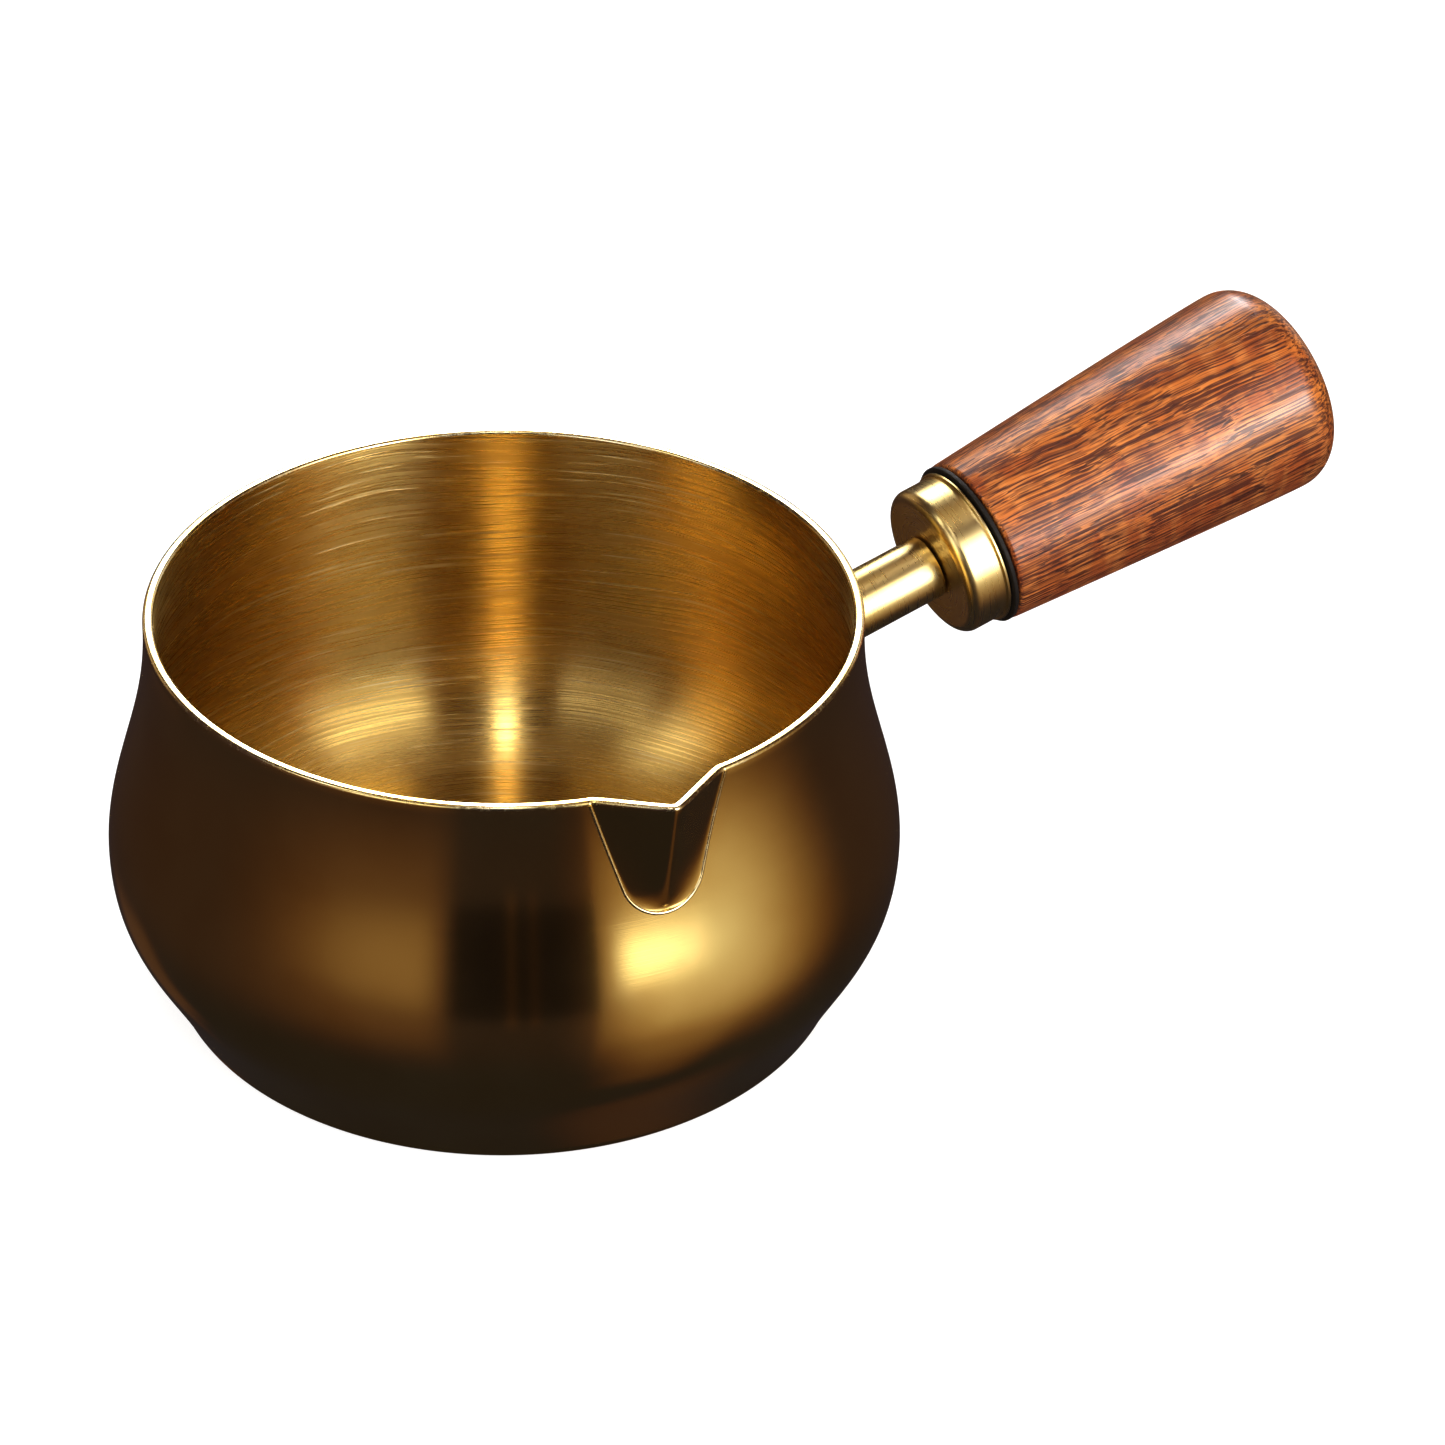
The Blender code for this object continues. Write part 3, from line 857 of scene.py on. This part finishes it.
def make_stem_seam(material):
    """The brazed seam round the stem's root."""
    points = []
    for i in range(HANDLE_COLUMNS // 2):
        angle = 2 * math.tau * i / HANDLE_COLUMNS
        along = stem_start(angle, STEM_RADIUS, BEAD_RADIUS * 0.2)
        point = Vector((STEM_RADIUS * math.cos(angle), STEM_RADIUS * math.sin(angle), along))
        points.append(HANDLE_FRAME @ point)
    return bead("stem_seam", points, BEAD_RADIUS, material, cyclic=True)


def make_ferrule(material):
    """The round-shouldered cap with its thin lip."""
    back = FERRULE_START + FERRULE_LENGTH
    cup = FERRULE_RADIUS - FERRULE_WALL
    hole = STUD_RADIUS + GAP
    lip = FERRULE_RADIUS + FERRULE_LIP
    soft = 0.00012  # the roundness of the lip's edges
    shoulder = (FERRULE_RADIUS - FERRULE_CORNER, FERRULE_START + FERRULE_CORNER)
    outline = [(cup, back)]
    outline += arc((lip - soft, back - soft), soft, 90, 0, 4)
    outline += arc((lip - soft, back - FERRULE_LIP + soft), soft, 0, -90, 4)
    outline += arc((FERRULE_RADIUS + soft, back - FERRULE_LIP - soft), soft, 90, 180, 4)
    side = spread(back - 2 * FERRULE_LIP, shoulder[1], FERRULE_ROWS)
    outline += [(FERRULE_RADIUS, along) for along in side]
    outline += arc(shoulder, FERRULE_CORNER, 0, -90, SHOULDER_ROWS)[1:]
    outline += [(radius, FERRULE_START) for radius in spread(shoulder[0], hole, 6)[1:]]
    outline += [(hole, FERRULE_START + FERRULE_WALL), (cup, FERRULE_START + FERRULE_WALL)]
    return turned("ferrule_cap", outline, HANDLE_COLUMNS, material, closed=True)


def make_washer(material):
    """The black ring between ferrule and wood, with its edges rounded."""
    back = WASHER_START + WASHER_LENGTH
    inner = SPIGOT_RADIUS + GAP
    edge = WASHER_RADIUS - WASHER_EDGE
    outline = [(inner, back)] + arc((edge, back - WASHER_EDGE), WASHER_EDGE, 90, 0, 5)
    outline += arc((edge, WASHER_START + WASHER_EDGE), WASHER_EDGE, 0, -90, 5) + [(inner, WASHER_START)]
    return turned("washer_ring", outline, HANDLE_COLUMNS, material, closed=True)


def thread(pitch, depth, start, end):
    """How far a thread's flank is below its crest, with plain ends."""

    def groove(_, along, angle):
        turn = (along / pitch + angle / math.tau) % 1.0
        ease = min((along - start) / pitch, (end - along) / pitch, 1.0)
        return -depth * abs(2 * turn - 1) * max(ease, 0.0)

    return groove


def make_stud(material):
    """The threaded rod inside the stem and grip."""
    start = STEM_END - STUD_IN_STEM
    end = SPIGOT_FACE + INSERT_LENGTH + STUD_PAST_INSERT
    rows = int((end - start) / STUD_PITCH * STUD_ROWS_A_TURN)
    outline = [(STUD_RADIUS, along) for along in spread(end, start, rows)]
    outline = [(0.0, end)] + outline + [(0.0, start)]
    groove = thread(STUD_PITCH, STUD_PITCH * 0.55, start, end)
    return turned("stud_rod", outline, THREAD_COLUMNS, material, twist=groove)


def make_insert(material):
    """The threaded sleeve in the grip's bore, with a coarse thread outside for the wood."""
    front = SPIGOT_FACE + GAP
    back = SPIGOT_FACE + INSERT_LENGTH
    inner = STUD_RADIUS + GAP
    rows = int((back - front) / INSERT_PITCH * INSERT_ROWS_A_TURN)
    outline = [(inner, back)] + [(INSERT_RADIUS, along) for along in spread(back, front, rows)]
    outline += [(inner, front)]
    coarse = thread(INSERT_PITCH, INSERT_PITCH * 0.4, front, back)

    def groove(radius, along, angle):
        return coarse(radius, along, angle) if radius == INSERT_RADIUS else 0.0

    return turned("insert_sleeve", outline, THREAD_COLUMNS, material, closed=True, twist=groove)


def make_grip(material):
    """The turned hardwood grip, with the neck and bore that hold it on."""
    butt = GRIP_START + GRIP_LENGTH
    dome_radius = GRIP_BUTT_RADIUS - GRIP_BUTT_EDGE
    edge_top = butt - GRIP_DOME
    dome = spread(0.0, 1.0, DOME_ROWS)[:-1]
    outline = [(dome_radius * share, butt - GRIP_DOME * share**2) for share in dome]
    outline += arc((dome_radius, edge_top - GRIP_BUTT_EDGE), GRIP_BUTT_EDGE, 90, 0, BUTT_EDGE_ROWS)
    neck_edge = (GRIP_NECK_RADIUS - GRIP_NECK_EDGE, GRIP_START + GRIP_NECK_EDGE)
    outline += bezier(
        (GRIP_BUTT_RADIUS, edge_top - GRIP_BUTT_EDGE),
        (GRIP_BUTT_RADIUS, edge_top - GRIP_BUTT_EDGE - GRIP_SWELL),
        (GRIP_NECK_RADIUS, neck_edge[1]),
        (GRIP_NECK_RADIUS, neck_edge[1]),
        GRIP_ROWS,
    )[1:]
    outline += arc(neck_edge, GRIP_NECK_EDGE, 0, -90, 6)[1:]
    bore = INSERT_RADIUS + GAP
    bore_end = SPIGOT_FACE + INSERT_LENGTH + STUD_PAST_INSERT + GAP
    outline += [
        (SPIGOT_RADIUS, GRIP_START),
        (SPIGOT_RADIUS, SPIGOT_FACE),
        (bore, SPIGOT_FACE),
        (bore, bore_end),
        (0.0, bore_end),
    ]
    return turned("grip_turning", outline, HANDLE_COLUMNS, material)


# ---------------------------------------------------------------- stage


CAMERA_PLACE = (-0.2163, -0.4208, 0.3518)
CAMERA_TURN = (56.570, -1.472, -29.948)
CAMERA_LENS = 99.65
FLOOR_REACH = 6.0
FLOOR_DROP = 0.0001


def make_camera():
    """The camera, looking down at the pan from its beak's side, with the handle pointing away."""
    data = bpy.data.cameras.new("camera")
    data.lens = CAMERA_LENS
    data.sensor_width = 36.0
    data.clip_start = 0.01
    camera = bpy.data.objects.new("camera", data)
    camera.location = CAMERA_PLACE
    camera.rotation_euler = [math.radians(angle) for angle in CAMERA_TURN]
    bpy.context.scene.collection.objects.link(camera)
    bpy.context.scene.camera = camera


def make_floor():
    """A pale round floor that glows a little and that metal doesn't mirror."""
    bm = bmesh.new()
    bmesh.ops.create_circle(bm, cap_ends=True, segments=96, radius=FLOOR_REACH)
    material, graph = new_material("pale_floor")
    principled(
        graph,
        {
            "Base Color": (0.30, 0.30, 0.30, 1.0),
            "Roughness": 0.9,
            "Emission Color": WHITE,
            "Emission Strength": 0.85,
        },
    )
    floor = finish_mesh("floor", bm, (material,))
    floor.location.z = -FLOOR_DROP
    floor.visible_glossy = False


# The softboxes that metal mirrors, by direction in degrees: azimuth of the middle, half width, fades to the
# left and right as seen from the pan, lowest and highest full elevation, fades below and above, strength.
SOFTBOXES = {
    "key": (-64.0, 7.0, 52.0, 34.0, -6.0, 50.0, 46.0, 12.0, 0.66),
    "key_heart": (-71.0, 11.0, 20.0, 12.0, -4.5, 44.0, 5.0, 10.0, 0.50),
    "key_spot": (-74.0, 7.0, 9.0, 9.0, -4.9, 16.0, 1.6, 16.0, 2.30),
    "key_upper": (-71.0, 16.0, 9.0, 7.0, 14.0, 42.0, 10.0, 9.0, 2.40),
    "key_low": (-68.0, 4.0, 22.0, 22.0, -50.0, -40.0, 14.0, 10.0, 0.10),
    "fill": (-147.0, 6.0, 12.0, 56.0, 0.0, 40.0, 44.0, 16.0, 0.12),
    "fill_edge": (-146.0, 4.0, 10.0, 46.0, -4.0, 20.0, 9.0, 20.0, 0.16),
    "fill_heart": (-150.0, 13.0, 4.0, 6.0, 13.0, 38.0, 7.0, 9.0, 1.35),
    "side_high": (174.0, 6.0, 8.0, 8.0, 42.0, 60.0, 12.0, 10.0, 2.40),
    "overhead": (-117.0, 180.0, 1.0, 1.0, 78.0, 91.0, 14.0, 1.0, 0.45),
    "overhead_strip": (-117.0, 2.4, 3.0, 3.0, 66.0, 82.0, 8.0, 6.0, 10.00),
    "overhead_strip_low": (-117.0, 2.2, 3.0, 3.0, 42.0, 58.0, 6.0, 8.0, 4.20),
    "haze": (-117.0, 180.0, 1.0, 1.0, -18.0, 91.0, 30.0, 1.0, 0.030),
    "stand_glint": (-116.0, 0.5, 0.9, 0.9, -12.0, 0.0, 3.0, 4.0, 0.30),
    "stand_second_glint": (-110.0, 0.4, 0.9, 0.9, -12.0, 0.0, 3.0, 4.0, 0.22),
    "backdrop": (64.0, 14.0, 10.0, 10.0, 26.0, 42.0, 7.0, 10.0, 3.20),
    "backdrop_strip": (64.0, 3.0, 4.0, 4.0, 24.0, 46.0, 7.0, 10.0, 12.00),
    "ground_glow": (6.0, 12.0, 40.0, 40.0, -76.0, -72.0, 10.0, 16.0, 0.045),
    "back_low": (104.0, 8.0, 10.0, 10.0, -46.0, -38.0, 6.0, 8.0, 0.08),
    "back_key": (28.0, 10.0, 14.0, 14.0, -2.0, 22.0, 10.0, 8.0, 0.85),
    "back_fill": (108.0, 10.0, 14.0, 14.0, -2.0, 22.0, 10.0, 8.0, 0.45),
}
# The dark stand between key and fill, and its darkest part.
STAND = (-112.5, 18.0, 2.5, 3.5, -90.0, 30.0, 1.0, 14.0, 0.60)
STAND_FRONT = (-112.5, 19.0, 1.5, 2.5, -11.0, 4.0, 1.2, 3.0, 0.65)
# What metal mirrors of the rest of the room: red, green and blue.
ROOM = (0.042, 0.036, 0.040)
# How much a dim light loses of its green and blue: none at 0.
GREEN_TINT = 0.34
BLUE_TINT = 0.90
SOFT_LIGHT = 0.85
DISPLAY_GAMMA = 0.8
WHITE = (1.0, 1.0, 1.0, 1.0)

LAMP_PLACE = (-0.15, -0.45, 0.85)
LAMP_AIM = (0.05, 0.0, 0.03)
LAMP_SIZE = 0.6
LAMP_POWER = 8.0
SHEEN_SIZE = 0.16
# The lamps for the varnish, as seen from the grip: azimuth, slope, distance and power.
SHEENS = {"front_sheen": (-69.0, 0.21, 0.8175, 2.0), "back_sheen": (72.0, 0.93, 0.8, 0.5)}


def softbox(graph, direction, elevation, shape):
    """How bright one softbox is in a direction, with soft edges."""
    azimuth, half, fade_left, fade_right, low, high, fade_low, fade_high, strength = shape
    turn = {"Vector": direction, "Angle": math.radians(-azimuth)}
    turned_to = graph.add("VectorRotate", turn, rotation_type="Z_AXIS")
    x, y, _ = graph.add("SeparateXYZ", {0: turned_to}).node.outputs
    across = graph.math("DEGREES", graph.math("ARCTAN2", y, x))
    left = graph.smooth(across, half, half + fade_left, 1.0, 0.0)
    right = graph.smooth(across, -half - fade_right, -half)
    below = graph.smooth(elevation, low - fade_low, low)
    above = graph.smooth(elevation, high, high + fade_high, 1.0, 0.0)
    sides = graph.math("MULTIPLY", left, right)
    ends = graph.math("MULTIPLY", below, above)
    return graph.math("MULTIPLY", graph.math("MULTIPLY", sides, ends), strength)


def make_world():
    """White to the camera, soft light for matt surfaces, and a dim studio with softboxes for metal."""
    world = bpy.data.worlds.new("studio")
    world.use_nodes = True
    # Each kind of ray sees its own part of the world, so its light isn't sampled as one picture.
    world.cycles.sampling_method = "NONE"
    bpy.context.scene.world = world
    graph = Graph(world.node_tree)
    direction = graph.add("TexCoord", output=0)
    height = graph.add("SeparateXYZ", {0: direction}).node.outputs[2]
    elevation = graph.math("DEGREES", graph.math("ARCSINE", height))
    light = 0.0
    for shape in SOFTBOXES.values():
        light = graph.math("ADD", light, softbox(graph, direction, elevation, shape))
    lit_share = graph.math("SUBTRACT", 1.0, softbox(graph, direction, elevation, STAND))
    front_share = graph.math("SUBTRACT", 1.0, softbox(graph, direction, elevation, STAND_FRONT))
    light = graph.math("MULTIPLY", light, lit_share)
    # Dim directions are warmer than bright ones.
    dimness = graph.math("MINIMUM", light, 1.0)
    red = graph.math("ADD", light, ROOM[0])
    green = graph.math("MULTIPLY_ADD", light, graph.math("POWER", dimness, GREEN_TINT), ROOM[1])
    blue = graph.math("MULTIPLY_ADD", light, graph.math("POWER", dimness, BLUE_TINT), ROOM[2])
    colour = graph.add("CombineColor", {0: red, 1: green, 2: blue})
    studio = graph.add("Background", {"Color": colour, "Strength": front_share})
    soft = graph.add("Background", {"Color": WHITE, "Strength": SOFT_LIGHT})
    white = graph.add("Background", {"Color": WHITE, "Strength": 1.0})
    path = graph.add("LightPath").node
    lit = graph.add("MixShader", {0: path.outputs["Is Glossy Ray"], 1: soft, 2: studio})
    shown = graph.add("MixShader", {0: path.outputs["Is Camera Ray"], 1: lit, 2: white})
    graph.add("OutputWorld", {"Surface": shown})


def make_lamp(name, place_at, size, power, aim):
    """A round soft lamp that shines on a point, unseen by the camera."""
    data = bpy.data.lights.new(name, "AREA")
    data.shape = "DISK"
    data.size = size
    data.energy = power
    lamp = bpy.data.objects.new(name, data)
    lamp.location = place_at
    lamp.rotation_euler = (aim - lamp.location).to_track_quat("-Z", "Y").to_euler()
    lamp.visible_camera = False
    bpy.context.scene.collection.objects.link(lamp)
    return lamp


def make_lamps(grip):
    """A large soft lamp for wood and floor, which metal doesn't mirror, and two for the varnish's sheen."""
    soft = make_lamp("soft_lamp", LAMP_PLACE, LAMP_SIZE, LAMP_POWER, Vector(LAMP_AIM))
    soft.visible_glossy = False
    low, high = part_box("wooden_grip")
    middle = Vector(low + high) / 2
    varnished = bpy.data.collections.new("varnished")
    varnished.objects.link(grip)
    for name, (azimuth, slope, distance, power) in SHEENS.items():
        turn = math.radians(azimuth)
        direction = Vector((math.cos(turn), math.sin(turn), slope)).normalized()
        lamp = make_lamp(name, middle + distance * direction, SHEEN_SIZE, power, middle)
        lamp.light_linking.receiver_collection = varnished


def main():
    """Light the pan and put every piece in its place."""
    make_camera()
    make_floor()
    make_world()
    bpy.context.scene.view_settings.view_transform = "Standard"
    bpy.context.scene.view_settings.gamma = DISPLAY_GAMMA
    outside = make_brass_outside()
    inside = make_brass_inside()
    edge = make_brass_edge()
    handle = make_brass_handle()
    place(make_pot(outside, inside, edge), "pot_body")
    place(make_beak(outside, inside, edge), "pouring_spout")
    place(make_beak_seam(edge), "pouring_spout")
    place(make_stem(handle), "handle_stem")
    place(make_stem_seam(handle), "handle_stem")
    place(make_ferrule(handle), "ferrule")
    place(make_washer(make_fibre()), "heat_washer")
    place(make_stud(make_steel()), "threaded_stud")
    place(make_insert(make_insert_brass()), "threaded_insert")
    grip = make_grip(make_wood())
    place(grip, "wooden_grip")
    make_lamps(grip)


main()
